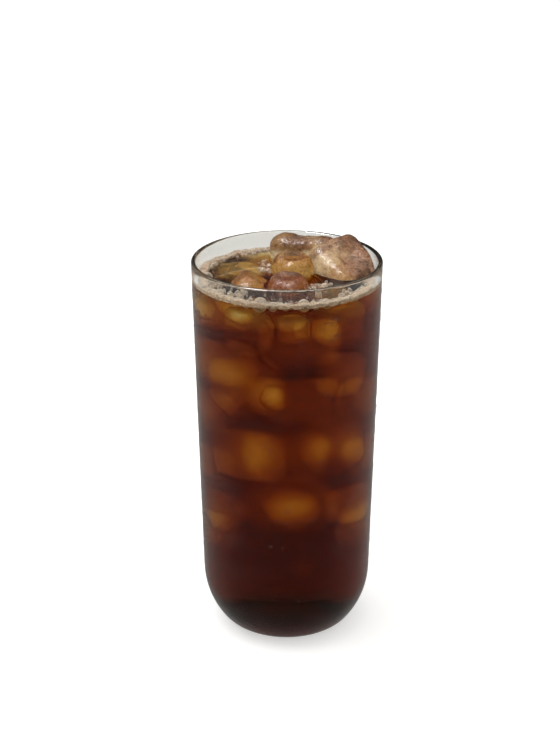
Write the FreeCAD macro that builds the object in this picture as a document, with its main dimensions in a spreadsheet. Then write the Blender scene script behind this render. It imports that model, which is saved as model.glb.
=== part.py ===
"""Iced americano in a tall glass tumbler, as a parametric FreeCAD document.

The tumbler is one revolved wall of thin glass with a slightly tapered side, a round bottom
corner and a shallow push-up under its base. It holds coffee up to a level below the rim,
an uneven band of froth on the coffee along the wall, and the ice cubes that break the
coffee's surface.

Frame: millimetres, +Z up, origin at the middle of the plane that the glass stands on. The
drinker's side is -Y.
"""

import FreeCAD
import Part

import math
import os

import Sketcher

# ------------------------------------------------------------------ driving dimensions

SIZES = {
    # the tumbler
    "rim_radius": 38.0,  # outside, at the lip's widest
    "corner_radius": 34.5,  # where the outer side's line meets the resting plane
    "glass_height": 160.0,
    "wall": 1.9,
    "base_thickness": 3.4,
    "haunch_arc": 33.0,  # large outer arc, tangent to the side
    "foot_arc": 10.5,  # small outer arc, tangent to the resting plane
    "foot_inset": 14.5,  # from the corner inwards to where the small arc lands
    "floor_arc": 9.0,  # small inner arc, tangent to the glass's floor
    "resting_ring": 4.5,  # width of the flat ring that the glass stands on
    "pushup_rise": 0.9,
    # the drink
    "freeboard": 8.0,  # from the coffee up to the rim
    "drink_gap": 0.1,  # from coffee and froth to the glass, and between the two
    "froth_height": 2.2,
    "froth_width": 3.0,  # mean reach from the wall
    "froth_waviness": 1.5,
    "froth_slope": 0.9,  # how much narrower the ring is at its top
    "froth_clear_right": 16.3,  # along the wall, from ice_right's bearing to the froth's end
    "froth_clear_back": 14.2,  # along the wall, from ice_back's bearing to its other end
    # the ice
    "ice_gap": 0.15,  # to the coffee, the froth, the glass and the next cube
    "melt_arc": 6.0,  # rounding of a half-melted cube's edges
    "dimple_ball": 13.0,  # radius of the ball that hollows a cube's top
    "dimple_depth": 1.4,
    "ice_headroom": 20.0,  # above the rim, where a cube may still reach
}

# Each cube that shows above the coffee: its three sides, the bearing of its centre from +X,
# how far in from the glass's inner face its centre lies at the coffee's level, how far its
# centre lies below that level, its turn about the vertical, its lean towards the drinker and
# its roll towards +X after that turn.
CUBE_FIELDS = ("width", "depth", "height", "bearing", "inset", "sunk", "turn", "lean", "roll")
CUBES = {
    "ice_right": (25.0, 27.0, 20.0, 28.0, 10.0, 2.2, 39.0, 30.0, -4.0),
    "ice_back": (29.0, 13.0, 20.0, 75.4, 6.6, 1.5, -12.0, -8.0, 0.0),
    "ice_middle": (15.5, 17.0, 20.0, 73.7, 27.4, 2.2, 34.0, 8.0, -4.0),
    "ice_front_left": (16.0, 18.0, 16.0, 209.9, 18.9, 4.4, 8.0, 8.0, 40.0),
    "ice_front_right": (15.5, 16.0, 21.0, 271.3, 22.6, 4.3, -8.0, 6.0, 0.0),
}
for cube_name, cube_values in CUBES.items():
    for field, value in zip(CUBE_FIELDS, cube_values):
        SIZES[cube_name + "_" + field] = value

# The froth's inner edge waves in and out: (waves in a turn, phase in radians, share).
FROTH_WAVES = ((1, 0.6, 0.35), (3, 0.7, 0.4), (7, 2.1, 0.25))
FROTH_POINTS = 42  # points that its closed curve runs through

# Geometry numbers of the sketcher: a point's place on its edge, and the two axes.
START, END, CENTRE = 1, 2, 3
X_AXIS, Y_AXIS = -1, -2
ORIGIN = (X_AXIS, START)

doc = FreeCAD.newDocument("IcedAmericano")
sheet = doc.addObject("Spreadsheet::Sheet", "Sizes")
for row, (alias, value) in enumerate(SIZES.items(), start=1):
    sheet.set("A%d" % row, alias)
    sheet.set("B%d" % row, repr(value))
    sheet.setAlias("B%d" % row, alias)
doc.recompute()


def size(alias):
    """A driving dimension, read from the sheet."""
    return float(getattr(sheet, alias))


# ------------------------------------------------------------------ sketch helpers


def new_profile(body):
    """A sketch on the body's XZ plane, where sketch X is radius and sketch Y is height."""
    planes = [plane for plane in body.Origin.OriginFeatures if plane.Role == "XZ_Plane"]
    sketch = body.newObject("Sketcher::SketchObject", body.Name + "_profile")
    sketch.AttachmentSupport = [(planes[0], "")]
    sketch.MapMode = "FlatFace"
    return sketch


def relate(sketch, kind, *items):
    """Adds a constraint that has no size."""
    sketch.addConstraint(Sketcher.Constraint(kind, *items))


def drive(sketch, name, expression, kind, *items):
    """Adds a dimension, named and bound to the sheet; its last item is a first guess."""
    index = sketch.addConstraint(Sketcher.Constraint(kind, *items))
    sketch.renameConstraint(index, name)
    sketch.setExpression("Constraints." + name, expression)


def line(sketch, start, end, construction=False):
    """A straight edge from start to end."""
    ends = [FreeCAD.Vector(x, y, 0) for x, y in (start, end)]
    return sketch.addGeometry(Part.LineSegment(*ends), construction)


def arc(sketch, centre, radius, first, last, construction=False):
    """An arc about a centre, anticlockwise between two angles in radians."""
    middle = FreeCAD.Vector(centre[0], centre[1], 0)
    circle = Part.Circle(middle, FreeCAD.Vector(0, 0, 1), radius)
    return sketch.addGeometry(Part.ArcOfCircle(circle, first, last), construction)


def mark(sketch, place):
    """A construction point."""
    return sketch.addGeometry(Part.Point(FreeCAD.Vector(place[0], place[1], 0)), True)


def revolve(body, sketch):
    """A full turn of the profile about the glass's axis."""
    feature = body.newObject("PartDesign::Revolution", body.Name + "_turned")
    feature.Profile = sketch
    feature.ReferenceAxis = (sketch, ["V_Axis"])
    feature.Angle = 360.0
    sketch.Visibility = False
    body.Tip = feature


# ------------------------------------------------------------------ the tumbler's section


def outer_face(sketch, construction):
    """Draws the tumbler's outer face, from its landing on the resting plane to its lip.

    The side is a line through the corner point, half a wall outside the lip's centre. A
    large arc tangent to it and a small arc tangent to the resting plane round the corner.
    """
    rim, corner, high, wall, haunch_r, foot_r, inset = (
        size(alias)
        for alias in (
            "rim_radius",
            "corner_radius",
            "glass_height",
            "wall",
            "haunch_arc",
            "foot_arc",
            "foot_inset",
        )
    )
    slope = (rim - corner) / high
    tilt = math.atan(slope)
    foot_at = (corner - inset, foot_r)
    haunch_z = foot_r
    for _ in range(8):
        haunch_x = corner + slope * haunch_z - haunch_r / math.cos(tilt)
        across = foot_at[0] - haunch_x
        haunch_z = foot_r + math.sqrt((haunch_r - foot_r) ** 2 - across**2)
    joint = math.atan2(foot_at[1] - haunch_z, across)
    leave_z = haunch_z - haunch_r * math.sin(tilt)
    top_z = high - wall / 2

    edges = {
        "slope": slope,
        "tilt": tilt,
        "haunch_at": (haunch_x, haunch_z),
        "corner": mark(sketch, (corner, 0)),
        "lip_centre": mark(sketch, (rim - wall / 2, top_z)),
        "foot": arc(sketch, foot_at, foot_r, -math.pi / 2, joint, construction),
        "haunch": arc(sketch, (haunch_x, haunch_z), haunch_r, joint, -tilt, construction),
        "side": line(
            sketch,
            (corner + slope * leave_z, leave_z),
            (corner + slope * top_z, top_z),
            construction,
        ),
    }
    corner_mark, lip, foot, haunch, side = (
        edges[name] for name in ("corner", "lip_centre", "foot", "haunch", "side")
    )
    relate(sketch, "PointOnObject", corner_mark, START, X_AXIS)
    relate(sketch, "PointOnObject", corner_mark, START, side)
    relate(sketch, "PointOnObject", foot, START, X_AXIS)
    relate(sketch, "Vertical", foot, CENTRE, foot, START)
    relate(sketch, "Tangent", foot, END, haunch, START)
    relate(sketch, "Tangent", haunch, END, side, START)
    drive(sketch, "corner", "Sizes.corner_radius", "DistanceX", *ORIGIN, corner_mark, START, corner)
    drive(
        sketch,
        "lip_radius",
        "Sizes.rim_radius - Sizes.wall / 2",
        "DistanceX",
        *ORIGIN,
        lip,
        START,
        rim - wall / 2,
    )
    drive(
        sketch,
        "lip_height",
        "Sizes.glass_height - Sizes.wall / 2",
        "DistanceY",
        *ORIGIN,
        lip,
        START,
        top_z,
    )
    drive(sketch, "half_wall", "Sizes.wall / 2", "Distance", lip, START, side, wall / 2)
    drive(sketch, "foot_radius", "Sizes.foot_arc", "Radius", foot, foot_r)
    drive(sketch, "haunch_radius", "Sizes.haunch_arc", "Radius", haunch, haunch_r)
    drive(
        sketch,
        "landing",
        "Sizes.foot_inset",
        "DistanceX",
        foot,
        START,
        corner_mark,
        START,
        inset,
    )
    return edges


def inner_face(sketch, outer, clear, clear_expression, top):
    """Draws the tumbler's inner face moved inwards by a clearance, from the axis to a top.

    It follows the outer face at the wall's thickness: its side is parallel to the outer one
    and its large arc shares that one's centre. A small arc lands on the floor.
    """
    slope, tilt = outer["slope"], outer["tilt"]
    centre_x, centre_z = outer["haunch_at"]
    large = size("haunch_arc") - size("wall") - clear
    small = size("floor_arc") - clear
    floor = size("base_thickness") + clear
    down = centre_z - floor - small
    across = math.sqrt((large - small) ** 2 - down**2)
    joint = math.atan2(-down, across)
    landing = (centre_x + across, floor)
    leave = (centre_x + large * math.cos(tilt), centre_z - large * math.sin(tilt))

    floor_line = line(sketch, landing, (0, floor))
    floor_arc = arc(sketch, (landing[0], floor + small), small, -math.pi / 2, joint)
    haunch = arc(sketch, (centre_x, centre_z), large, joint, -tilt)
    side = line(sketch, leave, (leave[0] + slope * (top - leave[1]), top))

    relate(sketch, "Horizontal", floor_line)
    relate(sketch, "PointOnObject", floor_line, END, Y_AXIS)
    relate(sketch, "Tangent", floor_line, START, floor_arc, START)
    relate(sketch, "Tangent", floor_arc, END, haunch, START)
    relate(sketch, "Coincident", haunch, CENTRE, outer["haunch"], CENTRE)
    relate(sketch, "Tangent", haunch, END, side, START)
    relate(sketch, "Parallel", side, outer["side"])
    drive(
        sketch,
        "floor_height",
        "Sizes.base_thickness + " + clear_expression,
        "DistanceY",
        *ORIGIN,
        floor_line,
        START,
        floor,
    )
    drive(
        sketch,
        "floor_arc_radius",
        "Sizes.floor_arc - " + clear_expression,
        "Radius",
        floor_arc,
        small,
    )
    return {"floor": floor_line, "side": side}


# ------------------------------------------------------------------ glass


def tumbler():
    """The glass: outer and inner faces joined by a round lip, with a pushed-up base."""
    body = doc.addObject("PartDesign::Body", "glass")
    sketch = new_profile(body)
    outer = outer_face(sketch, False)
    high, wall, rise = size("glass_height"), size("wall"), size("pushup_rise")
    inner = inner_face(sketch, outer, 0.0, "0", high - wall / 2)

    lip = arc(
        sketch,
        (size("rim_radius") - wall / 2, high - wall / 2),
        wall / 2,
        -outer["tilt"],
        math.pi - outer["tilt"],
    )
    relate(sketch, "Coincident", lip, CENTRE, outer["lip_centre"], START)
    relate(sketch, "Tangent", outer["side"], END, lip, START)
    relate(sketch, "Tangent", inner["side"], END, lip, END)

    ring = size("resting_ring")
    landing = size("corner_radius") - size("foot_inset")
    dome_edge = landing - ring
    dome_radius = (dome_edge**2 + rise**2) / (2 * rise)
    dome_start = math.atan2(dome_radius - rise, dome_edge)
    rest = line(sketch, (dome_edge, 0), (landing, 0))
    dome = arc(sketch, (0, rise - dome_radius), dome_radius, dome_start, math.pi / 2)
    axis = line(sketch, (0, size("base_thickness")), (0, rise))
    relate(sketch, "PointOnObject", rest, START, X_AXIS)
    relate(sketch, "Coincident", rest, END, outer["foot"], START)
    relate(sketch, "Coincident", dome, START, rest, START)
    relate(sketch, "PointOnObject", dome, CENTRE, Y_AXIS)
    relate(sketch, "Coincident", dome, END, axis, END)
    relate(sketch, "PointOnObject", axis, END, Y_AXIS)
    relate(sketch, "Coincident", axis, START, inner["floor"], END)
    drive(sketch, "ring", "Sizes.resting_ring", "DistanceX", rest, START, rest, END, ring)
    drive(sketch, "rise", "Sizes.pushup_rise", "DistanceY", *ORIGIN, axis, END, rise)
    revolve(body, sketch)
    return body


# ------------------------------------------------------------------ room inside the glass


def filling(name, clearance, top_expression, top):
    """A solid that fills the glass, clear of its inner face, up to a flat top."""
    body = doc.addObject("PartDesign::Body", name)
    sketch = new_profile(body)
    outer = outer_face(sketch, True)
    clear = size(clearance)
    inner = inner_face(sketch, outer, clear, "Sizes." + clearance, top)
    relate(sketch, "Horizontal", outer["side"], END, outer["lip_centre"], START)
    drive(
        sketch,
        "clear_of_wall",
        "Sizes.wall / 2 + Sizes." + clearance,
        "Distance",
        outer["lip_centre"],
        START,
        inner["side"],
        size("wall") / 2 + clear,
    )
    side_top = size("rim_radius") - size("wall")
    level = line(sketch, (0, top), (side_top, top))
    axis = line(sketch, (0, size("base_thickness") + clear), (0, top))
    relate(sketch, "Horizontal", level)
    relate(sketch, "Coincident", level, END, inner["side"], END)
    relate(sketch, "Coincident", axis, END, level, START)
    relate(sketch, "PointOnObject", level, START, Y_AXIS)
    relate(sketch, "Coincident", axis, START, inner["floor"], END)
    drive(sketch, "top", top_expression, "DistanceY", *ORIGIN, level, START, top)
    revolve(body, sketch)
    return body


# ------------------------------------------------------------------ ice

# The expression for the radius of the glass's inner face at the coffee's level.
WALL_FACE = (
    "(Sizes.rim_radius - Sizes.wall"
    " - Sizes.freeboard * (Sizes.rim_radius - Sizes.corner_radius) / Sizes.glass_height)"
)


def cube_place(name):
    """The expression that places a cube in the drink."""
    own = "Sizes." + name + "_"
    reach = "(%s - %sinset)" % (WALL_FACE, own)
    return (
        "placement(vector("
        + "%s * cos(%sbearing * 1deg); " % (reach, own)
        + "%s * sin(%sbearing * 1deg); " % (reach, own)
        + "Sizes.glass_height - Sizes.freeboard - %ssunk); " % own
        + "rotation(%sturn; %sroll; %slean))" % (own, own, own)
    )


def cube(name, swelling, dimpled):
    """A melted cube about its own centre, grown on every side by a swelling expression."""
    body = doc.addObject("PartDesign::Body", name)
    owner = name.rsplit("_", 1)[0]
    sides = {
        side: "(Sizes.%s_%s + 2 * %s)" % (owner, side, swelling)
        for side in ("width", "depth", "height")
    }
    block = body.newObject("PartDesign::AdditiveBox", name + "_block")
    for measure, axis, side in (
        ("Length", "x", "width"),
        ("Width", "y", "depth"),
        ("Height", "z", "height"),
    ):
        block.setExpression(measure, sides[side])
        block.setExpression("Placement.Base." + axis, "-%s / 2" % sides[side])
    doc.recompute()
    melt = body.newObject("PartDesign::Fillet", name + "_melt")
    melt.Base = (block, ["Edge%d" % (index + 1) for index in range(len(block.Shape.Edges))])
    shortest = "min(%s; %s; %s)" % tuple(sides.values())
    melt.setExpression("Radius", "min(Sizes.melt_arc + %s; 0.45 * %s)" % (swelling, shortest))
    body.Tip = melt
    if dimpled:
        doc.recompute()
        dimple = body.newObject("PartDesign::SubtractiveSphere", name + "_dimple")
        dimple.setExpression("Radius", "Sizes.dimple_ball")
        dimple.setExpression(
            "Placement.Base.z",
            "%s / 2 + Sizes.dimple_ball - Sizes.dimple_depth" % sides["height"],
        )
        body.Tip = dimple
    body.setExpression("Placement", cube_place(owner))
    return body


def cut(name, base, tools):
    """A base with tools taken out of it one after the other; the last cut gets the name."""
    for index, tool in enumerate(tools):
        last = index == len(tools) - 1
        step = doc.addObject("Part::Cut", name if last else "%s_cut_%d" % (name, index + 1))
        step.Base = base
        step.Tool = tool
        base = step
    return base


def ice(room):
    """The cubes that show, each kept inside the room, and the space that each one takes."""
    cubes = []
    spaces = []
    for name in CUBES:
        melted = cube(name + "_melted", "0", True)
        inside = doc.addObject("Part::Common", name + "_inside")
        inside.Base = melted
        inside.Tool = room
        if spaces:
            inside = cut(name, inside, spaces)
        inside.Label = name
        cubes.append(inside)
        spaces.append(cube(name + "_space", "Sizes.ice_gap", False))
    return cubes, spaces


# ------------------------------------------------------------------ froth


def froth_edge(reach, height):
    """The froth's wavy inner edge at a height, as a closed curve about the axis."""
    points = []
    for index in range(FROTH_POINTS):
        angle = 2 * math.pi * index / FROTH_POINTS
        wave = sum(share * math.sin(count * angle + phase) for count, phase, share in FROTH_WAVES)
        radius = reach + size("froth_waviness") * wave
        points.append(FreeCAD.Vector(radius * math.cos(angle), radius * math.sin(angle), height))
    curve = Part.BSplineCurve()
    curve.interpolate(Points=points, PeriodicFlag=True)
    return Part.Wire([curve.toShape()])


def froth_opening(level, wall_face):
    """The wavy round that the froth leaves open in its middle, wider towards its top."""
    reach = wall_face - size("froth_width")
    run = size("froth_slope")
    tall = size("froth_height")  # the opening runs on by as much above and below the froth
    feature = doc.addObject("Part::Feature", "froth_opening")
    feature.Shape = Part.makeLoft(
        [
            froth_edge(reach - run, level - tall),
            froth_edge(reach + 2 * run, level + 2 * tall),
        ],
        True,
        True,
    )
    return feature


def froth(spaces):
    """The froth on the coffee along the wall, cut round the ice.

    It is a ring with one sector missing, where cubes lie against the wall.
    """
    level = size("glass_height") - size("freeboard")
    slope = (size("rim_radius") - size("corner_radius")) / size("glass_height")
    wall_face = size("rim_radius") - size("wall") - slope * size("freeboard")
    full = filling(
        "froth_disc",
        "drink_gap",
        "Sizes.glass_height - Sizes.freeboard + Sizes.froth_height",
        level + size("froth_height"),
    )
    below = doc.addObject("Part::Cylinder", "below_froth")
    below.setExpression("Radius", "Sizes.rim_radius")
    below.setExpression("Height", "Sizes.glass_height - Sizes.freeboard + Sizes.drink_gap")
    bare = doc.addObject("Part::Cylinder", "froth_bare_sector")
    bare.setExpression("Radius", "Sizes.rim_radius")
    bare.setExpression("Height", "Sizes.glass_height")
    first, last = (
        "(Sizes.%s_bearing %s Sizes.froth_clear_%s / %s * 180 / pi)" % (cube, sign, side, WALL_FACE)
        for cube, sign, side in (("ice_right", "-", "right"), ("ice_back", "+", "back"))
    )
    bare.setExpression("Angle", "%s - %s" % (last, first))
    bare.setExpression("Placement", "placement(vector(0; 0; 0); rotation(%s; 0; 0))" % first)
    return cut("froth", full, [below, bare, froth_opening(level, wall_face)] + spaces)


# ------------------------------------------------------------------ the whole drink


def build():
    """Every sub-part, by node name."""
    glass = tumbler()
    level = size("glass_height") - size("freeboard")
    room = filling(
        "ice_room",
        "ice_gap",
        "Sizes.glass_height + Sizes.ice_headroom",
        size("glass_height") + size("ice_headroom"),
    )
    drink = filling("drink", "drink_gap", "Sizes.glass_height - Sizes.freeboard", level)
    cubes, spaces = ice(room)
    coffee = cut("coffee", drink, spaces)
    ring = froth(spaces)
    return [glass, coffee, ring] + cubes


def write(nodes):
    """Checks the document and writes one STEP file for each sub-part."""
    doc.recompute()
    for item in doc.Objects:
        if "Invalid" in item.State or "Error" in item.State:
            raise RuntimeError("%s: %s" % (item.Name, item.State))
    for node in nodes:
        if node.Shape.isNull() or not node.Shape.isValid() or not node.Shape.Solids:
            raise RuntimeError("no valid solid in " + node.Label)
    os.makedirs("parts", exist_ok=True)
    for node in nodes:
        node.Shape.exportStep("parts/%s.step" % node.Label)
        print(node.Label, len(node.Shape.Solids), "solids,", round(node.Shape.Volume), "mm3")


write(build())
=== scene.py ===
import math
import random

import bmesh
import bpy
from mathutils import Matrix, Vector, noise
from mathutils.geometry import intersect_line_sphere_2d


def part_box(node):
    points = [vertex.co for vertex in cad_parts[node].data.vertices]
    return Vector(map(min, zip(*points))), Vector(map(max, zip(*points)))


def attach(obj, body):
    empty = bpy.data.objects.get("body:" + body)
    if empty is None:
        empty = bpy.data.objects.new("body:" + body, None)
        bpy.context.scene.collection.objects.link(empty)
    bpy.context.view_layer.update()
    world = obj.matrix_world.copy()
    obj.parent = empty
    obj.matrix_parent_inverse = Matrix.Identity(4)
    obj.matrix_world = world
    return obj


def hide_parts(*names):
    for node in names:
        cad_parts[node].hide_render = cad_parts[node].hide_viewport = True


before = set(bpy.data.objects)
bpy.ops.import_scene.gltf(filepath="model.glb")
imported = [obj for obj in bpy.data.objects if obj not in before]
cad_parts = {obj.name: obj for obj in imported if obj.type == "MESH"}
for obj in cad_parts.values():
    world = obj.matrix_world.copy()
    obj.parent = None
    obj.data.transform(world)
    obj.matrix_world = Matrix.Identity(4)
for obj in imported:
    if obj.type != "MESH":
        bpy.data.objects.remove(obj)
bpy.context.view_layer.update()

bl_info = {
    "name": "Iced americano",
    "version": (1, 0, 0),
    "blender": (4, 5, 0),
    "location": "View3D > Sidebar > Americano",
    "description": "A tall tumbler of iced americano: glass, coffee, ice, froth and dew",
    "category": "Add Mesh",
}

MM = 0.001
TURN = 2 * math.pi
SAME_POINT = 0.001 * MM  # points nearer than this are one
AROUND = 160  # steps in a full turn of the glass and the coffee
GLASS_IOR, COFFEE_IOR, WATER_IOR, ICE_IOR = 1.52, 1.333, 1.33, 1.31
WHITE = "#FFFFFF"
ROOM_LIGHT, ROOM_GLOSS = "#FFFEFC", "#FFFDF9"  # a faint warmth, in what lights and is mirrored
FAINT_GLOSS = (0.16, 0.16, 0.16, 1.0)  # the glass mirrors little where you look straight at it
FLOATING = {
    # the cube in the frame, its piece here, and the two colours its frost is mottled with
    "ice_right": ("floating_ice_right", "#93603F", "#D8A988"),
    # The back cube's frost colours are painted shade: dark, to stand in for the dark coffee seen
    # through the ice.
    "ice_back": ("floating_ice_back", "#4E241A", "#A06E52"),
    "ice_middle": ("floating_ice_middle", "#8F5A2C", "#D0A066"),
    "ice_front_left": ("floating_ice_front_left", "#84502C", "#C48F60"),
    "ice_front_right": ("floating_ice_front_right", "#7C4A33", "#C08E70"),
}
GLASS_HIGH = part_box("glass")[1]
COFFEE_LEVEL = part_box("coffee")[1].z

# Ice under the surface: centre x, y, z, side, all in millimetres, then turn, lean and roll
# in degrees. Half-melted cubes packed loosely down to where the drink is all coffee.
SUNKEN_ICE = (
    # just under the surface, between the floating cubes
    (-20, 13, 140, 21, 12, 0, 4),
    (4, 11, 126, 21, 15, 5, -5),
    (-14, -26, 140, 17, 10, 5, 5),
    (2, -29, 142, 11, 30, 0, 0),
    (18, -16, 140, 18, 35, 6, 0),
    (7, 30, 126, 11, 10, 0, 10),
    (-8, 28, 131, 12, 15, 0, 0),
    (-29, -6, 144, 10, 20, 0, 10),
    # nearer the front
    (-13, -11, 112, 23, 20, 12, -8),
    (-4, -28, 113, 9, 30, 20, 10),
    (18, -13, 118, 18, 25, 8, 12),
    (-13, -13, 83, 22, 30, -12, 10),
    (16, -12, 87, 21, 40, 10, -12),
    (2, -16, 60, 17, 15, 20, 30),
    (-22, -6, 54, 16, 15, 20, 6),
    (22, -6, 57, 17, 35, -15, 8),
    # nearer the back
    (-18, 14, 115, 19, 15, 5, 10),
    (2, 16, 99, 21, 20, -8, 5),
    (-22, 8, 94, 16, 35, 10, -6),
    (22, 7, 101, 16, 10, 5, 15),
    (0, 11, 76, 22, 15, 10, 5),
    (-24, 8, 71, 15, 20, -8, 8),
    (23, 8, 75, 16, 5, 10, -10),
    (1, 14, 51, 22, 20, 12, 0),
    (-21, 9, 39, 15, 30, 0, 10),
    (21, 8, 42, 16, 15, 10, 5),
    # a last one low down
    (5, -12, 31, 8, 20, 30, 10),
)
FROTH_ENDS = (98, 362)  # bearings between which froth lies along the glass, in degrees
BIG_BUBBLES = (
    # bearing in degrees, then distance in from the glass and radius, in mm
    (252, 3.2, 2.8),
    (244, 2.0, 1.6),
    (261, 2.2, 1.8),
    (269, 1.8, 1.3),
    (236, 2.6, 1.7),
    (281, 3.6, 2.3),
    (288, 1.9, 1.4),
    (296, 3.0, 1.9),
    (222, 2.2, 1.5),
    (131, 1.9, 1.2),
    (143, 2.1, 1.4),
    (160, 1.8, 1.1),
    (190, 2.3, 1.5),
    (318, 2.0, 1.3),
)
BUBBLE_CLUSTERS = (
    # x, y, spread, all in mm, and how many bubbles
    (-7.5, 8, 1.6, 16),
    (-8, 15, 2.2, 22),
    (11, -14, 2.4, 46),
    (14.5, -11, 1.8, 22),
    (-20, -21, 2.0, 16),
)

# The stage, in metres and watts: the table reaches so far each way, a hair under the glass.
TABLE_REACH, TABLE_GAP = 4.0, 0.05 * MM
SOFT_WINDOW = {
    "size": (1.0, 1.2), "power": 7.0, "place": (-0.45, 0.1, 1.15), "target": (0, 0, 0.1)
}
GLINT = {
    "size": (0.35, 0.35), "power": 10.0, "place": (-0.35, -0.15, 0.95), "target": (0, 0, 0.15)
}
CAMERA_PLACE = (-2.74 * MM, -601.92 * MM, 361.4 * MM)
CAMERA_DIP = 22.61  # degrees below level
FOCAL_LENGTH, SENSOR_WIDTH = 77.1, 36.0  # millimetres, as a camera takes them


# ------------------------------------------------------------------ sizes and colours


def length(name, description, value):
    """A length in metres that a user may change."""
    return bpy.props.FloatProperty(
        name=name, description=description, default=value, min=0.0, max=1.0,
        unit="LENGTH", subtype="DISTANCE", precision=5,
    )


def share(name, description, value):
    """A share from 0 to 1."""
    return bpy.props.FloatProperty(
        name=name, description=description, default=value, min=0.0, max=1.0, subtype="FACTOR",
    )


def colour(name, description, value):
    """A colour, as its sRGB hex value."""
    return bpy.props.StringProperty(name=name, description=description, default=value)


class AmericanoTumblerSizes(bpy.types.PropertyGroup):
    """Sizes of the glass."""

    rim_radius: length("Rim radius", "Outside, at the lip", GLASS_HIGH.x)
    height: length("Height", "From the table to the lip", GLASS_HIGH.z)
    corner_radius: length("Corner radius", "Where the side's line meets the table", 34.5 * MM)
    wall: length("Wall", "Thickness of the side", 1.9 * MM)
    base: length("Base", "Height of the glass's floor", 3.4 * MM)
    haunch_arc: length("Haunch arc", "Large arc of the bottom corner", 33 * MM)
    foot_arc: length("Foot arc", "Small arc next to the table", 10.5 * MM)
    foot_inset: length("Foot inset", "From the corner to where the small arc lands", 14.5 * MM)
    floor_arc: length("Floor arc", "Small arc inside, next to the floor", 9 * MM)
    resting_ring: length("Resting ring", "Width of the flat ring under the base", 4.5 * MM)
    pushup: length("Push-up", "Rise of the base's underside", 0.9 * MM)


class AmericanoDrinkSizes(bpy.types.PropertyGroup):
    """Sizes of the coffee, the ice, the froth and the dew."""

    level: length("Level", "Height of the coffee", COFFEE_LEVEL)
    seat: length("Seat", "How far the coffee reaches into the glass", 0.3 * MM)
    meniscus: length("Meniscus", "Rise of the coffee at the glass", 1.3 * MM)
    ice_gap: length("Ice gap", "From the ice to its hollow in the coffee", 0.1 * MM)
    ice_arc: length("Ice arc", "Rounding of a melting cube's edges", 5.5 * MM)
    ice_swell: length("Ice unevenness", "Depth of the melt waves on the ice", 0.45 * MM)
    ice_film: length("Film", "Coffee between sunken ice and the glass", 0.6 * MM)
    bubble: length("Bubble", "Radius of the usual froth bubble", 0.5 * MM)
    bubbles: bpy.props.IntProperty(
        name="Bubbles", description="Bubbles along the glass", default=1100, min=0, max=4000
    )
    bead: length("Bead", "Radius of the usual bead of dew", 0.28 * MM)
    beads: bpy.props.IntProperty(
        name="Beads", description="Beads of dew on the glass", default=3000, min=0, max=6000
    )


class AmericanoColours(bpy.types.PropertyGroup):
    """Colours of the finishes."""

    glass: colour("Glass", "Clear soda-lime glass, faintly warm grey", "#F4F5F2")
    stain: colour("Stain", "Clear ice, stained by the coffee", "#E2B478")
    froth: colour("Froth", "Coffee froth", "#F0DFC6")
    film: colour("Bubble film", "Skin of a large bubble", "#F3E2CC")
    table: colour("Table", "Plain pale table", "#ECEBE8")
    brew_red: share("Red kept", "The nearer to 1, the less red light it absorbs", 0.8167)
    brew_green: share("Green kept", "The same for green light", 0.61)
    brew_blue: share("Blue kept", "The same for blue light", 0.083)
    brew_strength: bpy.props.FloatProperty(
        name="Brew strength", default=246.0,
        description="Absorption, per metre, of a colour of which it keeps nothing",
    )


GROUPS = {
    "americano_tumbler": AmericanoTumblerSizes,
    "americano_drink": AmericanoDrinkSizes,
    "americano_colours": AmericanoColours,
}


def linear(code):
    """An sRGB hex value as the linear colour that nodes take."""
    parts = [int(code[place:place + 2], 16) / 255 for place in (1, 3, 5)]
    light = [part / 12.92 if part <= 0.04045 else ((part + 0.055) / 1.055) ** 2.4 for part in parts]
    return (*light, 1.0)


# ------------------------------------------------------------------ finishes


def add(tree, kind, values=None, links=None, **settings):
    """Adds a node with its settings, its sockets' values and what feeds them.

    What feeds a socket is another node's socket, or a node, which gives its first output.
    """
    node = tree.nodes.new(kind)
    for name, value in settings.items():
        setattr(node, name, value)
    for socket, value in (values or {}).items():
        node.inputs[socket].default_value = value
    for socket, source in (links or {}).items():
        output = source.outputs[0] if isinstance(source, bpy.types.Node) else source
        tree.links.new(output, node.inputs[socket])
    return node


def blank(name):
    """A material with an empty node tree."""
    material = bpy.data.materials.new(name)
    material.use_nodes = True
    material.node_tree.nodes.clear()
    return material, material.node_tree


def complete(material, surface, volume=None):
    """Gives a material its surface and, where it has one, its volume."""
    links = {"Surface": surface}
    if volume is not None:
        links["Volume"] = volume
    add(material.node_tree, "ShaderNodeOutputMaterial", links=links)
    return material


def clear_glass(colours):
    """Soda-lime glass, pressed and fire-polished: clear and smooth, IOR 1.52."""
    material, tree = blank("Soda-lime glass, fire-polished")
    place = add(tree, "ShaderNodeTexCoord").outputs["Object"]
    # Fire-polishing leaves slow waves of a few micrometres, some 14 mm apart.
    spacing, depth = 14 * MM, 0.012 * MM
    waves = add(
        tree, "ShaderNodeTexNoise", {"Scale": 1 / spacing, "Detail": 1.0}, {"Vector": place}
    )
    glass = add(
        tree, "ShaderNodeBsdfPrincipled",
        {
            "Base Color": linear(colours.glass),
            "Roughness": 0.0,
            "IOR": GLASS_IOR,
            "Transmission Weight": 1.0,
        },
        {"Normal": add(tree, "ShaderNodeBump", {"Distance": depth}, {"Height": waves})},
    )
    return complete(material, glass)


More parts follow.
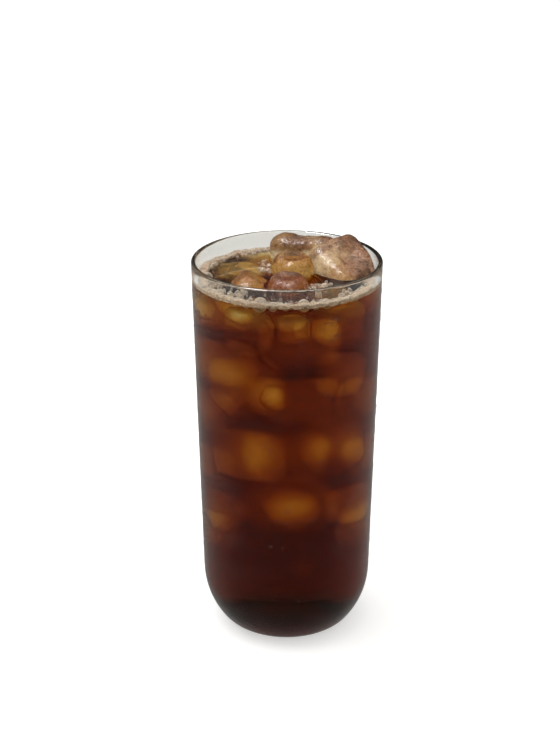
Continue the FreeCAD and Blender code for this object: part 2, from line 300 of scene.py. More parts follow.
def misted_glass(colours, level):
    """The same glass where cold coffee behind it mists it over: soft, with a fine grain."""
    material, tree = blank("Soda-lime glass, misted by the cold")
    place = add(tree, "ShaderNodeTexCoord").outputs["Object"]
    # The mist is thin just under the coffee's level, and full 33 mm further down.
    thin, full = level - 1 * MM, level - 34 * MM
    cold = add(
        tree, "ShaderNodeMapRange",
        {"From Min": thin, "From Max": full, "To Min": 0.15},
        {"Value": add(tree, "ShaderNodeSeparateXYZ", links={"Vector": place}).outputs["Z"]},
        interpolation_type="SMOOTHSTEP",
    )
    # It lies in patches some 16 mm across.
    patch = 16 * MM
    cloud = add(
        tree, "ShaderNodeTexNoise",
        {"Scale": 1 / patch, "Detail": 3.0, "Roughness": 0.6}, {"Vector": place},
    )
    patches = add(
        tree, "ShaderNodeMapRange",
        {"From Min": 0.35, "From Max": 0.75, "To Min": 0.1, "To Max": 0.22}, {"Value": cloud},
    )
    haze = add(tree, "ShaderNodeMath", links={0: cold, 1: patches}, operation="MULTIPLY")
    # Mist droplets are about 0.1 mm apart, drawn as coarse as 0.5 mm so that they show.
    droplet, depth = 0.5 * MM, 0.02 * MM
    grain = add(
        tree, "ShaderNodeTexNoise", {"Scale": 1 / droplet, "Roughness": 0.7}, {"Vector": place}
    )
    glass = add(
        tree, "ShaderNodeBsdfPrincipled",
        {
            "Base Color": linear(colours.glass),
            "IOR": GLASS_IOR,
            "Transmission Weight": 1.0,
            "Specular Tint": FAINT_GLOSS,
        },
        {
            "Roughness": haze,
            "Normal": add(tree, "ShaderNodeBump", {"Distance": depth}, {"Height": grain}),
        },
    )
    return complete(material, glass)


def wetted_glass(colours):
    """The same glass where coffee lies against it: light passes with little bend or gloss."""
    material, tree = blank("Soda-lime glass, wetted by coffee")
    glass = add(
        tree, "ShaderNodeBsdfPrincipled",
        {
            "Base Color": linear(colours.glass),
            "Roughness": 0.0,
            "IOR": GLASS_IOR / COFFEE_IOR,
            "Transmission Weight": 1.0,
        },
    )
    return complete(material, glass)


def coffee(colours):
    """Strained black coffee: clear, and amber to near black with depth.

    Its bend of light depends on what it touches, air, glass or ice, as each face says.
    """
    material, tree = blank("Black coffee, strained")
    touching = add(tree, "ShaderNodeAttribute", attribute_name="touching_ior")
    surface = add(
        tree, "ShaderNodeBsdfPrincipled",
        {
            "Base Color": linear(WHITE),
            "Roughness": 0.0,
            "IOR": COFFEE_IOR,
            "Transmission Weight": 1.0,
        },
        {"IOR": touching.outputs["Fac"]},
    )
    depth = add(
        tree, "ShaderNodeVolumeAbsorption",
        {
            "Color": (colours.brew_red, colours.brew_green, colours.brew_blue, 1.0),
            "Density": colours.brew_strength,
        },
    )
    return complete(material, surface, depth)


def wet_ice(colours, dark, pale):
    """Machine-made ice, half melted: glassy, IOR 1.31, with frosted and stained patches."""
    material, tree = blank("Ice, melting and frosted")
    place = add(tree, "ShaderNodeTexCoord").outputs["Object"]
    # Cloudy patches of frost some 7 mm across, and crystals of about 1.3 mm.
    patch, crystal, depth = 7 * MM, 1.3 * MM, 0.25 * MM
    clouds = add(
        tree, "ShaderNodeTexNoise",
        {"Scale": 1 / patch, "Detail": 4.0, "Roughness": 0.62}, {"Vector": place},
    )
    grain = add(
        tree, "ShaderNodeTexNoise",
        {"Scale": 1 / crystal, "Detail": 3.0, "Roughness": 0.7}, {"Vector": place},
    )
    melt = add(tree, "ShaderNodeBump", {"Distance": depth, "Strength": 0.8}, {"Height": grain})
    frosted = add(
        tree, "ShaderNodeMapRange",
        {"From Min": 0.38, "From Max": 0.62, "To Min": 0.2, "To Max": 0.75}, {"Value": clouds},
    )
    roughness = add(
        tree, "ShaderNodeMapRange",
        {"From Min": 0.35, "From Max": 0.65, "To Min": 0.05, "To Max": 0.3}, {"Value": clouds},
    )
    clear = add(
        tree, "ShaderNodeBsdfPrincipled",
        {"Base Color": linear(colours.stain), "IOR": ICE_IOR, "Transmission Weight": 1.0},
        {"Roughness": roughness, "Normal": melt},
    )
    mottle = add(tree, "ShaderNodeMapRange", {"From Min": 0.34, "From Max": 0.66}, {"Value": grain})
    tint = add(
        tree, "ShaderNodeMix", {"A": linear(dark), "B": linear(pale)}, {"Factor": mottle},
        data_type="RGBA",
    )
    frost = add(
        tree, "ShaderNodeBsdfPrincipled", {"Roughness": 0.16, "IOR": ICE_IOR},
        {"Base Color": tint.outputs[2], "Normal": melt},
    )
    surface = add(tree, "ShaderNodeMixShader", links={"Fac": frosted, 1: clear, 2: frost})
    return complete(material, surface)


def sunken_ice_finish(level, most_frost):
    """Ice below the surface: coffee wets it, so its skin neither bends nor mirrors light.

    Frost, where there is any, is on the tops just under the surface: it glows through the coffee.
    """
    material, tree = blank("Ice, under the coffee")
    place = add(tree, "ShaderNodeTexCoord").outputs["Object"]
    skin = add(
        tree, "ShaderNodeBsdfPrincipled",
        {
            "Base Color": linear(WHITE),
            "Roughness": 0.0,
            "IOR": 1.0,
            "Transmission Weight": 1.0,
        },
    )
    frost = add(tree, "ShaderNodeBsdfDiffuse", {"Color": linear("#CDAA62")})
    # It fades out with depth, and lies in soft patches some 5 mm across.
    bare, full, patch = level - 11 * MM, level - 1 * MM, 5 * MM
    near_top = add(
        tree, "ShaderNodeMapRange",
        {"From Min": bare, "From Max": full, "To Max": most_frost},
        {"Value": add(tree, "ShaderNodeSeparateXYZ", links={"Vector": place}).outputs["Z"]},
        interpolation_type="SMOOTHSTEP",
    )
    patches = add(
        tree, "ShaderNodeMapRange",
        {"From Min": 0.25, "From Max": 0.75, "To Min": 0.45},
        {"Value": add(tree, "ShaderNodeTexNoise", {"Scale": 1 / patch}, {"Vector": place})},
        interpolation_type="SMOOTHSTEP",
    )
    cover = add(tree, "ShaderNodeMath", links={0: near_top, 1: patches}, operation="MULTIPLY")
    surface = add(tree, "ShaderNodeMixShader", links={"Fac": cover, 1: skin, 2: frost})
    return complete(material, surface)


def froth_finish(colours):
    """Coffee froth: cream-coloured, packed with bubbles finer than a millimetre, with painted shade
    in the creases between them.
    """
    material, tree = blank("Coffee froth, fine")
    place = add(tree, "ShaderNodeTexCoord").outputs["Object"]
    cell, depth = 0.9 * MM, 0.3 * MM
    domes = add(
        tree, "ShaderNodeMapRange",
        {"From Max": 0.6, "To Min": 1.0, "To Max": 0.0},
        {"Value": add(tree, "ShaderNodeTexVoronoi", {"Scale": 1 / cell}, {"Vector": place})},
        interpolation_type="SMOOTHSTEP",
    )
    # Painted shade: darker in the creases between the bubble domes, pale on their tops.
    painted_crease_shade = add(
        tree, "ShaderNodeMapRange", {"From Max": 0.7, "To Min": 0.2}, {"Value": domes}
    )
    # The darker colour is painted crease shade, not a colour the froth has.
    tint = add(
        tree, "ShaderNodeMix",
        {"A": linear("#C6A283"), "B": linear(colours.froth)}, {"Factor": painted_crease_shade},
        data_type="RGBA",
    )
    surface = add(
        tree, "ShaderNodeBsdfPrincipled", {"Roughness": 0.3, "IOR": WATER_IOR},
        {
            "Base Color": tint.outputs[2],
            "Normal": add(tree, "ShaderNodeBump", {"Distance": depth}, {"Height": domes}),
        },
    )
    return complete(material, surface)


def bubble_finish(colours):
    """A bubble's skin: clear where it faces you, more opaque and cream-coloured towards its edge as
    the camera sees it, a painted rim sheen beside its real gloss.
    """
    material, tree = blank("Coffee bubble, thin film")
    # Painted sheen: the skin turns opaque cream by the angle it is seen at, standing in for the
    # bright rim a film gets from reflection.
    edge = add(tree, "ShaderNodeLayerWeight", {"Blend": 0.35}).outputs["Facing"]
    cover = add(
        tree, "ShaderNodeMapRange",
        {"From Min": 0.1, "From Max": 0.9, "To Min": 0.22, "To Max": 0.95}, {"Value": edge},
    )
    surface = add(
        tree, "ShaderNodeBsdfPrincipled",
        {"Base Color": linear(colours.film), "Roughness": 0.08, "IOR": WATER_IOR},
        {"Alpha": cover},
    )
    return complete(material, surface)


def dew_finish():
    """Beads of water: clear, IOR 1.33."""
    material, tree = blank("Water beads")
    surface = add(
        tree, "ShaderNodeBsdfPrincipled",
        {
            "Base Color": linear(WHITE),
            "Roughness": 0.0,
            "IOR": WATER_IOR,
            "Transmission Weight": 1.0,
        },
    )
    return complete(material, surface)


# ------------------------------------------------------------------ mesh helpers


def run_to(bm, vert, radius, height, steps=1):
    """Draws the section on in a straight line, in equal steps, and returns its new end."""
    start, end = vert.co.copy(), Vector((radius, 0, height))
    for step in range(1, steps + 1):
        vert = bmesh.ops.extrude_vert_indiv(bm, verts=[vert])["verts"][0]
        vert.co = start.lerp(end, step / steps)
    return vert


def swing(bm, vert, centre, degrees, steps):
    """Draws the section on along an arc about a centre, anticlockwise seen from -Y."""
    turned = bmesh.ops.spin(
        bm, geom=[vert], cent=(centre[0], 0, centre[1]), axis=(0, -1, 0),
        angle=math.radians(degrees), steps=steps, use_merge=False, use_duplicate=False,
    )
    return turned["geom_last"][0]


def revolve(bm):
    """Spins the section a full turn about the glass's axis and closes it."""
    bmesh.ops.spin(
        bm, geom=bm.verts[:] + bm.edges[:], cent=(0, 0, 0), axis=(0, 0, 1),
        angle=TURN, steps=AROUND, use_merge=True, use_duplicate=False,
    )
    bmesh.ops.remove_doubles(bm, verts=bm.verts, dist=SAME_POINT)
    bmesh.ops.recalc_face_normals(bm, faces=bm.faces)


def piece_from(bm, name, finishes, sharp=None):
    """Makes a finished object of a bmesh, smooth but for edges over the sharp angle."""
    mesh = bpy.data.meshes.new(name)
    bm.to_mesh(mesh)
    bm.free()
    for finish in finishes:
        mesh.materials.append(finish)
    mesh.shade_smooth()
    if sharp is not None:
        mesh.set_sharp_from_angle(angle=math.radians(sharp))
    piece = bpy.data.objects.new(name, mesh)
    bpy.context.scene.collection.objects.link(piece)
    return piece


def settle(piece, slot, *nodes):
    """The piece moves with the object and stands for its CAD nodes; its slot is not used."""
    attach(piece, "root")
    if nodes:
        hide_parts(*nodes)


def with_modifiers(piece):
    """A bmesh of the piece as its modifiers shape it."""
    bpy.context.view_layer.update()
    evaluated = piece.evaluated_get(bpy.context.evaluated_depsgraph_get())
    mesh = bpy.data.meshes.new_from_object(evaluated)
    bm = bmesh.new()
    bm.from_mesh(mesh)
    bpy.data.meshes.remove(mesh)
    return bm


def remove(piece):
    """Deletes a helper object and its mesh."""
    mesh = piece.data
    bpy.data.objects.remove(piece)
    bpy.data.meshes.remove(mesh)


def copies(places, rings, sides):
    """A bmesh with a ball of few faces at each place, of radius 1 before it is placed."""
    ball = bmesh.new()
    bmesh.ops.create_uvsphere(ball, u_segments=sides, v_segments=rings, radius=1.0)
    pattern = bpy.data.meshes.new("ball")
    ball.to_mesh(pattern)
    ball.free()
    bm = bmesh.new()
    for place in places:
        one = pattern.copy()
        one.transform(place)
        bm.from_mesh(one)
        bpy.data.meshes.remove(one)
    bpy.data.meshes.remove(pattern)
    return bm


# ------------------------------------------------------------------ the glass's section


def direction(degrees):
    """A unit vector in the section, anticlockwise from outwards."""
    return Vector((math.cos(math.radians(degrees)), math.sin(math.radians(degrees))))


def bearing_of(vector):
    """The angle of a vector in the section, in degrees."""
    return math.degrees(math.atan2(vector.y, vector.x))


def section(sizes):
    """Centres and angles of the arcs that make up the glass's outer and inner faces."""
    lip = Vector((sizes.rim_radius - sizes.wall / 2, sizes.height - sizes.wall / 2))
    corner = Vector((sizes.corner_radius, 0))
    to_lip = lip - corner
    tilt = math.atan2(to_lip.x, to_lip.y) + math.asin(sizes.wall / 2 / to_lip.length)
    out = direction(-math.degrees(tilt))
    along = Vector((math.sin(tilt), math.cos(tilt)))
    foot = Vector((sizes.corner_radius - sizes.foot_inset, sizes.foot_arc))
    inside = corner - out * sizes.haunch_arc
    haunch = intersect_line_sphere_2d(
        inside, inside + along * sizes.height, foot, sizes.haunch_arc - sizes.foot_arc, False
    )
    haunch = max((point for point in haunch if point is not None), key=lambda point: point.y)
    inner_arc = sizes.haunch_arc - sizes.wall
    floor_height = sizes.base + sizes.floor_arc
    reach = math.sqrt((inner_arc - sizes.floor_arc) ** 2 - (haunch.y - floor_height) ** 2)
    floor = Vector((haunch.x + reach, floor_height))
    return {
        "tilt": math.degrees(tilt), "out": out, "lip": lip, "foot": foot,
        "haunch": haunch, "floor": floor, "inner_arc": inner_arc,
        "foot_turn": bearing_of(foot - haunch), "floor_turn": bearing_of(floor - haunch),
    }


def wall_radius(sizes, height, depth):
    """Radius of the surface that lies depth inside the outer side, at a height."""
    shape = section(sizes)
    along_line = Vector((sizes.corner_radius, 0)) - shape["out"] * depth
    return along_line.x + (height - along_line.y) * math.tan(math.radians(shape["tilt"]))


def inner_radius(sizes, height):
    """Radius of the glass's inner face at any height, in the rounded bottom as well."""
    shape = section(sizes)
    arcs = (
        (shape["floor"], sizes.floor_arc, direction(shape["floor_turn"])),
        (shape["haunch"], shape["inner_arc"], shape["out"]),
    )
    for centre, radius, ends in arcs:
        if height < (centre + ends * radius).y:
            drop = min(centre.y - height, radius)
            return centre.x + math.sqrt(radius ** 2 - drop ** 2)
    return wall_radius(sizes, height, sizes.wall)


# ------------------------------------------------------------------ the pieces


def build_tumbler(sizes, drink, colours):
    """The tumbler: one wall of glass with a full round lip and a shallow push-up."""
    shape = section(sizes)
    bm = bmesh.new()
    landing = sizes.corner_radius - sizes.foot_inset
    edge = landing - sizes.resting_ring
    dome = (edge ** 2 + sizes.pushup ** 2) / (2 * sizes.pushup)
    vert = bm.verts.new((0, 0, sizes.pushup))
    dome_turn = -math.degrees(math.asin(edge / dome))
    vert = swing(bm, vert, (0, sizes.pushup - dome), dome_turn, steps=6)
    vert = run_to(bm, vert, landing, 0)
    vert = swing(bm, vert, shape["foot"], 90 + shape["foot_turn"], steps=9)
    vert = swing(bm, vert, shape["haunch"], -shape["tilt"] - shape["foot_turn"], steps=14)
    top = shape["lip"] + shape["out"] * sizes.wall / 2
    vert = run_to(bm, vert, top.x, top.y, steps=24)
    vert = swing(bm, vert, shape["lip"], 180, steps=12)
    crest = drink.level + drink.meniscus
    vert = run_to(bm, vert, inner_radius(sizes, crest), crest, steps=3)
    bottom = shape["haunch"] + shape["out"] * shape["inner_arc"]
    vert = run_to(bm, vert, bottom.x, bottom.y, steps=24)
    vert = swing(bm, vert, shape["haunch"], shape["floor_turn"] + shape["tilt"], steps=14)
    vert = swing(bm, vert, shape["floor"], -90 - shape["floor_turn"], steps=9)
    run_to(bm, vert, 0, sizes.base, steps=4)
    revolve(bm)
    mist_top = drink.level + 2 * MM
    for face in bm.faces:
        middle = face.calc_center_median()
        reach = math.hypot(middle.x, middle.y)
        halfway = inner_radius(sizes, max(middle.z, sizes.base)) + sizes.wall / 2
        outside = reach > halfway or middle.z < sizes.base / 2
        if outside and middle.z < mist_top:
            face.material_index = 1
        elif not outside and middle.z < crest:
            face.material_index = 2
    finishes = [
        clear_glass(colours), misted_glass(colours, drink.level), wetted_glass(colours)
    ]
    settle(piece_from(bm, "glass_tumbler", finishes, sharp=60), "clear_glass", "glass")


def melt_waves(bm, depth, size, seed):
    """Moves a mesh's points in and out in soft waves, as melting does."""
    shift = Vector((seed * 7.3, seed * 3.1, seed * 5.7))  # a part of the noise for each seed
    bm.normal_update()
    moves = [
        (vert, vert.normal * depth * noise.noise(vert.co / size + shift)) for vert in bm.verts
    ]
    for vert, move in moves:
        vert.co += move


def keep_inside(bm, sizes, film):
    """Flattens what would reach past the glass's inner face, less a film of coffee."""
    for vert in bm.verts:
        limit = inner_radius(sizes, max(vert.co.z, sizes.base)) - film
        reach = math.hypot(vert.co.x, vert.co.y)
        if reach > limit:
            vert.co.x *= limit / reach
            vert.co.y *= limit / reach


def evened(node, voxel, rounds):
    """A CAD node's shape with an even skin, its edges softened by rounds of smoothing."""
    bm = bmesh.new()
    bm.from_mesh(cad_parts[node].data)
    bmesh.ops.remove_doubles(bm, verts=bm.verts, dist=0.005 * MM)
    rough = piece_from(bm, "rough", [])
    remesh = rough.modifiers.new("even", "REMESH")
    remesh.mode = "VOXEL"
    remesh.voxel_size = voxel
    bm = with_modifiers(rough)
    remove(rough)
    for _ in range(rounds):
        bmesh.ops.smooth_vert(
            bm, verts=bm.verts, factor=0.5, use_axis_x=True, use_axis_y=True, use_axis_z=True
        )
    return bm


def build_floating_ice(sizes, drink, colours):
    """The cubes that break the surface: the CAD cubes, melted and waved."""
    for seed, (node, (name, dark, pale)) in enumerate(FLOATING.items(), start=1):
        bm = evened(node, voxel=0.6 * MM, rounds=2)
        melt_waves(bm, depth=1.2 * drink.ice_swell, size=6 * MM, seed=seed)
        melt_waves(bm, depth=0.35 * drink.ice_swell, size=1.6 * MM, seed=seed + 10)
        keep_inside(bm, sizes, film=0.2 * MM)
        bmesh.ops.bisect_plane(
            bm, geom=bm.verts[:] + bm.edges[:] + bm.faces[:], dist=SAME_POINT,
            plane_co=(0, 0, drink.level), plane_no=(0, 0, 1),
        )
        for face in bm.faces:
            face.material_index = 1 if face.calc_center_median().z < drink.level else 0
        bmesh.ops.recalc_face_normals(bm, faces=bm.faces)
        finishes = [wet_ice(colours, dark, pale), sunken_ice_finish(drink.level, most_frost=0.0)]
        settle(piece_from(bm, name, finishes), "ice", node)


def sunken_cubes(sizes, drink):
    """The cubes below the surface, each a cube with its edges melted round."""
    cubes = []
    for seed, (x, y, z, side, turn, lean, roll) in enumerate(SUNKEN_ICE, start=21):
        # Small chips are rounded and waved less, so that they keep their shape.
        most_arc, most_wave = 0.28 * side * MM, 0.06 * side * MM
        arc = min(drink.ice_arc, most_arc)
        depth = min(3 * drink.ice_swell, most_wave)
        bm = bmesh.new()
        bmesh.ops.create_cube(bm, size=side * MM)
        bmesh.ops.bevel(
            bm, geom=bm.edges[:], offset=arc, offset_type="OFFSET", segments=4,
            profile=0.5, affect="EDGES", material=-1,
        )
        bmesh.ops.subdivide_edges(bm, edges=bm.edges[:], cuts=1, use_grid_fill=True)
        turned = (
            Matrix.Translation(Vector((x, y, z)) * MM)
            @ Matrix.Rotation(math.radians(turn), 4, "Z")
            @ Matrix.Rotation(math.radians(lean), 4, "X")
            @ Matrix.Rotation(math.radians(roll), 4, "Y")
        )
        bmesh.ops.transform(bm, matrix=turned, verts=bm.verts)
        melt_waves(bm, depth, size=11 * MM, seed=seed)
        keep_inside(bm, sizes, drink.ice_film)
        bmesh.ops.recalc_face_normals(bm, faces=bm.faces)
        cubes.append(bm)
    return cubes


def build_sunken_ice(sizes, drink):
    """The cubes below the surface, as one piece."""
    joined = bmesh.new()
    for cube in sunken_cubes(sizes, drink):
        mesh = bpy.data.meshes.new("cube")
        cube.to_mesh(mesh)
        cube.free()
        joined.from_mesh(mesh)
        bpy.data.meshes.remove(mesh)
    finish = sunken_ice_finish(drink.level, most_frost=0.65)
    settle(piece_from(joined, "sunken_ice", [finish]), "ice")


def make_room(body, cube, gap):
    """Hollows the coffee round one cube, with a thin gap, and returns the cutting piece."""
    cube.normal_update()
    for vert, move in [(vert, vert.normal * gap) for vert in cube.verts]:
        vert.co += move
    cutter = piece_from(cube, "ice_hollow", [])
    cut = body.modifiers.new("room for ice", "BOOLEAN")
    cut.operation = "DIFFERENCE"
    cut.solver = "MANIFOLD"
    cut.object = cutter
    return cutter


def note_what_it_touches(bm, sizes, drink):
    """Gives each face of the coffee its IOR against air, glass or ice."""
    ior = bm.faces.layers.float.new("touching_ior")
    surface = drink.level - 0.01 * MM
    for face in bm.faces:
        middle = face.calc_center_median()
        reach = math.hypot(middle.x, middle.y)
        limit = inner_radius(sizes, max(middle.z, sizes.base)) + drink.seat / 4
        if reach > limit or middle.z < sizes.base:
            face[ior] = 1.0  # seated in the glass, whose inner face does the bending
        elif middle.z > surface:
            face[ior] = COFFEE_IOR
        else:
            face[ior] = COFFEE_IOR / ICE_IOR


def build_coffee(sizes, drink, colours):
    """The coffee: a body that fills the glass, with a hollow for each cube of ice."""
    shape = section(sizes)
    seat = drink.seat
    bm = bmesh.new()
    vert = bm.verts.new((0, 0, sizes.base - seat))
    vert = run_to(bm, vert, shape["floor"].x, sizes.base - seat, steps=4)
    vert = swing(bm, vert, shape["floor"], 90 + shape["floor_turn"], steps=8)
    vert = swing(bm, vert, shape["haunch"], -shape["tilt"] - shape["floor_turn"], steps=14)
    crest = drink.level + drink.meniscus
    vert = run_to(bm, vert, wall_radius(sizes, crest, sizes.wall - seat), crest, steps=24)
    wall = inner_radius(sizes, crest)
    vert = run_to(bm, vert, wall, crest)
    vert = swing(bm, vert, (wall - drink.meniscus, crest), -90, steps=6)
    run_to(bm, vert, 0, drink.level, steps=8)
    revolve(bm)
    body = piece_from(bm, "uncut_coffee", [])
    cubes = sunken_cubes(sizes, drink)
    for name, _, _ in FLOATING.values():
        cube = bmesh.new()
        cube.from_mesh(bpy.data.objects[name].data)
        cubes.append(cube)
    cutters = [make_room(body, cube, drink.ice_gap) for cube in cubes]
    bm = with_modifiers(body)
    for helper in (body, *cutters):
        remove(helper)
    note_what_it_touches(bm, sizes, drink)
    settle(piece_from(bm, "coffee_body", [coffee(colours)], sharp=40), "coffee", "coffee")


def build_froth_ring(sizes, drink, colours):
    """The band of froth along the glass: the CAD band, uneven and seated against the wall."""
    bm = evened("froth", voxel=0.45 * MM, rounds=3)
    melt_waves(bm, depth=0.9 * MM, size=3 * MM, seed=3)
    melt_waves(bm, depth=0.5 * MM, size=1.3 * MM, seed=5)
    flatness = 0.7
    for vert in bm.verts:
        vert.co.z = drink.level + flatness * (vert.co.z - drink.level)
    wall = inner_radius(sizes, drink.level)
    reaches_wall, into_wall = 0.7 * MM, 0.12 * MM
    for vert in bm.verts:
        reach = math.hypot(vert.co.x, vert.co.y)
        if reach > wall - reaches_wall:
            vert.co.xy *= (wall + into_wall) / reach
    settle(piece_from(bm, "froth_ring", [froth_finish(colours)]), "froth", "froth")


def froth_bubble_places(wall, drink):
    """Centre and radius of each bubble of froth: along the wall, the large ones, the clusters."""
    chance = random.Random(41)
    off_wall, flattens_by = 0.05 * MM, 2.6 * MM
    for _ in range(drink.bubbles):
        bearing = math.radians(chance.uniform(*FROTH_ENDS))
        radius = drink.bubble * chance.lognormvariate(0.0, 0.45)
        # The band is widest in front, and its bubbles lie lower the further in they are.
        width = 1.2 + 2.6 * max(0.0, -math.sin(bearing))
        inward = radius + off_wall + abs(chance.gauss(0, width)) * MM
        rise = chance.uniform(0.5, 1.5) * MM * math.exp(-((inward / flattens_by) ** 2))
        reach = wall - inward
        yield reach * math.cos(bearing), reach * math.sin(bearing), drink.level + rise, radius
    for degrees, inward, radius in BIG_BUBBLES:
        reach = wall - inward * MM
        bearing = math.radians(degrees)
        height = drink.level + 0.2 * MM
        yield reach * math.cos(bearing), reach * math.sin(bearing), height, radius * MM
    for x, y, spread, count in BUBBLE_CLUSTERS:
        for _ in range(count):
            radius = drink.bubble * chance.lognormvariate(0.1, 0.4)
            place = [(middle + chance.gauss(0, spread)) * MM for middle in (x, y)]
            yield *place, drink.level + 0.2 * radius, radius


def build_froth_bubbles(sizes, drink, colours):
    """The single bubbles on and beside the froth, all inside the glass."""
    wall = inner_radius(sizes, drink.level)
    places = [
        Matrix.Translation((x, y, z)) @ Matrix.Scale(radius, 4)
        for x, y, z, radius in froth_bubble_places(wall, drink)
        if math.hypot(x, y) + radius < wall
    ]
    bm = copies(places, rings=7, sides=10)
    settle(piece_from(bm, "froth_bubbles", [bubble_finish(colours)]), "froth")


def build_dew(sizes, drink):
    """Beads of dew on the outside of the cold glass."""
    chance = random.Random(17)
    shape = section(sizes)
    low, high = shape["haunch"].y, drink.level - 4 * MM
    clump, flatness, left_share = 13 * MM, 0.5, 0.45
    places = []
    while len(places) < drink.beads:
        bearing = chance.uniform(0, TURN)
        height = chance.uniform(low, high)
        radius = drink.bead * chance.lognormvariate(0.0, 0.35)
        reach = wall_radius(sizes, height, 0.0)
        spot = Vector((reach * math.cos(bearing), reach * math.sin(bearing), height))
        # Beads gather in clumps, and at the sides, where more of them hold on the right.
        sides = abs(math.cos(bearing)) ** 3 * (1.0 if math.cos(bearing) > 0 else left_share)
        if noise.noise(spot / clump) + 0.9 * sides < chance.uniform(-0.1, 0.9):
            continue
        out = Vector((math.cos(bearing), math.sin(bearing), -math.tan(math.radians(shape["tilt"]))))
        facing = out.to_track_quat("Z", "Y").to_matrix().to_4x4()
        bead = Matrix.Diagonal((radius, radius, flatness * radius, 1))
        places.append(Matrix.Translation(spot) @ facing @ bead)
    bm = copies(places, rings=5, sides=8)
    settle(piece_from(bm, "dew_beads", [dew_finish()]), "clear_glass")


# ------------------------------------------------------------------ the stage


def mirrored(tree, light):
    """1 for what a surface mirrors, 0 for what is seen straight on or through glass."""
    straight = add(
        tree, "ShaderNodeMath",
        links={0: light.outputs["Is Glossy Ray"], 1: light.outputs["Is Transmission Ray"]},
        operation="SUBTRACT",
    )
    return add(tree, "ShaderNodeMath", {1: 0.0}, {0: straight}, operation="MAXIMUM")


def table_finish(colours):
    """A plain pale table. Seen straight on it is white; mirrored, it is as dim as the room."""
    material, tree = blank("Table, pale and plain")
    light = add(tree, "ShaderNodeLightPath")
    top = add(tree, "ShaderNodeBsdfDiffuse", {"Color": linear(colours.table)})
    lift = add(tree, "ShaderNodeEmission", {"Color": linear(WHITE), "Strength": 0.55})
    bright = add(tree, "ShaderNodeAddShader", links={0: top, 1: lift})
    dim = add(tree, "ShaderNodeEmission", {"Color": linear(ROOM_GLOSS), "Strength": 0.35})
    straight = light.outputs["Is Camera Ray"]
    seen = add(tree, "ShaderNodeMixShader", links={"Fac": straight, 1: top, 2: bright})
    mirror = mirrored(tree, light)
    surface = add(tree, "ShaderNodeMixShader", links={"Fac": mirror, 1: seen, 2: dim})
    return complete(material, surface)


def build_world():
    """White behind the object, and a soft room: dim near the table's edge, bright overhead."""
    world = bpy.data.worlds.new("Soft room")
    bpy.context.scene.world = world
    world.use_nodes = True
    tree = world.node_tree
    tree.nodes.clear()
    light = add(tree, "ShaderNodeLightPath")
    toward = add(tree, "ShaderNodeTexCoord").outputs["Generated"]
    height = add(tree, "ShaderNodeSeparateXYZ", links={"Vector": toward}).outputs["Z"]
    rooms = []
    # The room's light as it falls on things, and as they mirror it: a tint, low and overhead.
    for tint, low, overhead in ((ROOM_LIGHT, 0.2, 1.0), (ROOM_GLOSS, 0.1, 1.2)):
        strength = add(
            tree, "ShaderNodeMapRange",
            {"From Min": 0.5, "From Max": 0.8, "To Min": low, "To Max": overhead},
            {"Value": height},
            interpolation_type="SMOOTHSTEP",
        )
        rooms.append(
            add(tree, "ShaderNodeBackground", {"Color": linear(tint)}, {"Strength": strength})
        )
    soft, glossed = rooms
    white = add(tree, "ShaderNodeBackground", {"Color": linear(WHITE), "Strength": 1.0})
    straight = light.outputs["Is Camera Ray"]
    seen = add(tree, "ShaderNodeMixShader", links={"Fac": straight, 1: soft, 2: white})
    mirror = mirrored(tree, light)
    surface = add(tree, "ShaderNodeMixShader", links={"Fac": mirror, 1: seen, 2: glossed})
    add(tree, "ShaderNodeOutputWorld", links={"Surface": surface})


def area_lamp(name, size, power, place, target):
    """A soft rectangular lamp at a place, aimed at its target."""
    lamp = bpy.data.lights.new(name, "AREA")
    lamp.shape = "RECTANGLE"
    lamp.size, lamp.size_y = size
    lamp.energy = power
    holder = bpy.data.objects.new(name, lamp)
    holder.location = place
    aim = Vector(target) - holder.location
    holder.rotation_euler = aim.to_track_quat("-Z", "Y").to_euler()
    bpy.context.scene.collection.objects.link(holder)
    return holder


def build_camera():
    """The camera: a long lens, looking a little down at the drink."""
    lens = bpy.data.cameras.new("view")
    lens.sensor_width = SENSOR_WIDTH
    lens.lens = FOCAL_LENGTH
    lens.clip_start = 0.01
    camera = bpy.data.objects.new("view", lens)
    camera.location = CAMERA_PLACE
    camera.rotation_euler = (math.radians(90 - CAMERA_DIP), 0, 0)
    bpy.context.scene.collection.objects.link(camera)
    return camera


def build_stage(colours):
    """The table, the room's light, two lamps and the camera."""
    bm = bmesh.new()
    bmesh.ops.create_grid(bm, x_segments=1, y_segments=1, size=TABLE_REACH)
    bmesh.ops.translate(bm, vec=(0, 0, -TABLE_GAP), verts=bm.verts)
    table = piece_from(bm, "table", [table_finish(colours)])
    build_world()
    area_lamp("soft_window", **SOFT_WINDOW)
    # The second lamp only glints: on the rim, the wet ice and the bubbles.
    glint = area_lamp("glint", **GLINT)
    glint.visible_diffuse = False
    glint.visible_transmission = False
    glint.visible_volume_scatter = False

    scene = bpy.context.scene
    scene.camera = build_camera()
    scene.view_settings.view_transform = "Standard"
    # Light crosses the glass, the coffee and each cube twice, so it needs many bounces.
    scene.cycles.max_bounces = 32
    scene.cycles.transmission_bounces = 32
    scene.cycles.transparent_max_bounces = 32
    scene.cycles.glossy_bounces = 8


# ------------------------------------------------------------------ operators and panel


class AMERICANO_OT_tumbler(bpy.types.Operator):
    """Make the glass tumbler"""

    bl_idname = "americano.tumbler"
    bl_label = "Tumbler"

    def execute(self, context):
        scene = context.scene
        build_tumbler(scene.americano_tumbler, scene.americano_drink, scene.americano_colours)
        return {"FINISHED"}


class AMERICANO_OT_ice(bpy.types.Operator):
    """Make the floating and the sunken ice"""

    bl_idname = "americano.ice"
    bl_label = "Ice"

    def execute(self, context):
        scene = context.scene
        build_floating_ice(scene.americano_tumbler, scene.americano_drink, scene.americano_colours)
        build_sunken_ice(scene.americano_tumbler, scene.americano_drink)
        return {"FINISHED"}


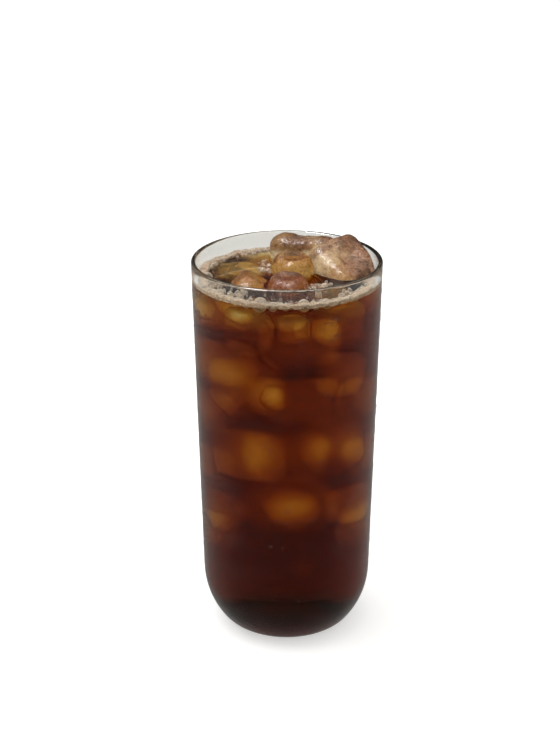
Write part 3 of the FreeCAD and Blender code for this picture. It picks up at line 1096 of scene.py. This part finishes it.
class AMERICANO_OT_coffee(bpy.types.Operator):
    """Make the coffee, cut round the ice"""

    bl_idname = "americano.coffee"
    bl_label = "Coffee"

    def execute(self, context):
        scene = context.scene
        build_coffee(scene.americano_tumbler, scene.americano_drink, scene.americano_colours)
        return {"FINISHED"}


class AMERICANO_OT_froth(bpy.types.Operator):
    """Make the froth ring and its bubbles"""

    bl_idname = "americano.froth"
    bl_label = "Froth"

    def execute(self, context):
        scene = context.scene
        build_froth_ring(scene.americano_tumbler, scene.americano_drink, scene.americano_colours)
        build_froth_bubbles(scene.americano_tumbler, scene.americano_drink, scene.americano_colours)
        return {"FINISHED"}


class AMERICANO_OT_dew(bpy.types.Operator):
    """Make the dew on the glass"""

    bl_idname = "americano.dew"
    bl_label = "Dew"

    def execute(self, context):
        build_dew(context.scene.americano_tumbler, context.scene.americano_drink)
        return {"FINISHED"}


class AMERICANO_OT_stage(bpy.types.Operator):
    """Make the table, the light and the camera"""

    bl_idname = "americano.stage"
    bl_label = "Stage"

    def execute(self, context):
        build_stage(context.scene.americano_colours)
        return {"FINISHED"}


OPERATORS = (
    AMERICANO_OT_tumbler,
    AMERICANO_OT_ice,
    AMERICANO_OT_coffee,
    AMERICANO_OT_froth,
    AMERICANO_OT_dew,
    AMERICANO_OT_stage,
)


class AMERICANO_PT_pieces(bpy.types.Panel):
    """The pieces of the drink"""

    bl_idname = "AMERICANO_PT_pieces"
    bl_label = "Iced americano"
    bl_space_type = "VIEW_3D"
    bl_region_type = "UI"
    bl_category = "Americano"

    def draw(self, context):
        for operator in OPERATORS:
            self.layout.operator(operator.bl_idname)


CLASSES = (*GROUPS.values(), *OPERATORS, AMERICANO_PT_pieces)


def register():
    for one in CLASSES:
        bpy.utils.register_class(one)
    for name, group in GROUPS.items():
        setattr(bpy.types.Scene, name, bpy.props.PointerProperty(type=group))


def unregister():
    for name in GROUPS:
        delattr(bpy.types.Scene, name)
    for one in reversed(CLASSES):
        bpy.utils.unregister_class(one)


def main():
    """Makes every piece in order."""
    register()
    bpy.ops.americano.tumbler()
    bpy.ops.americano.ice()
    bpy.ops.americano.coffee()
    bpy.ops.americano.froth()
    bpy.ops.americano.dew()
    bpy.ops.americano.stage()


if __name__ == "__main__":
    main()
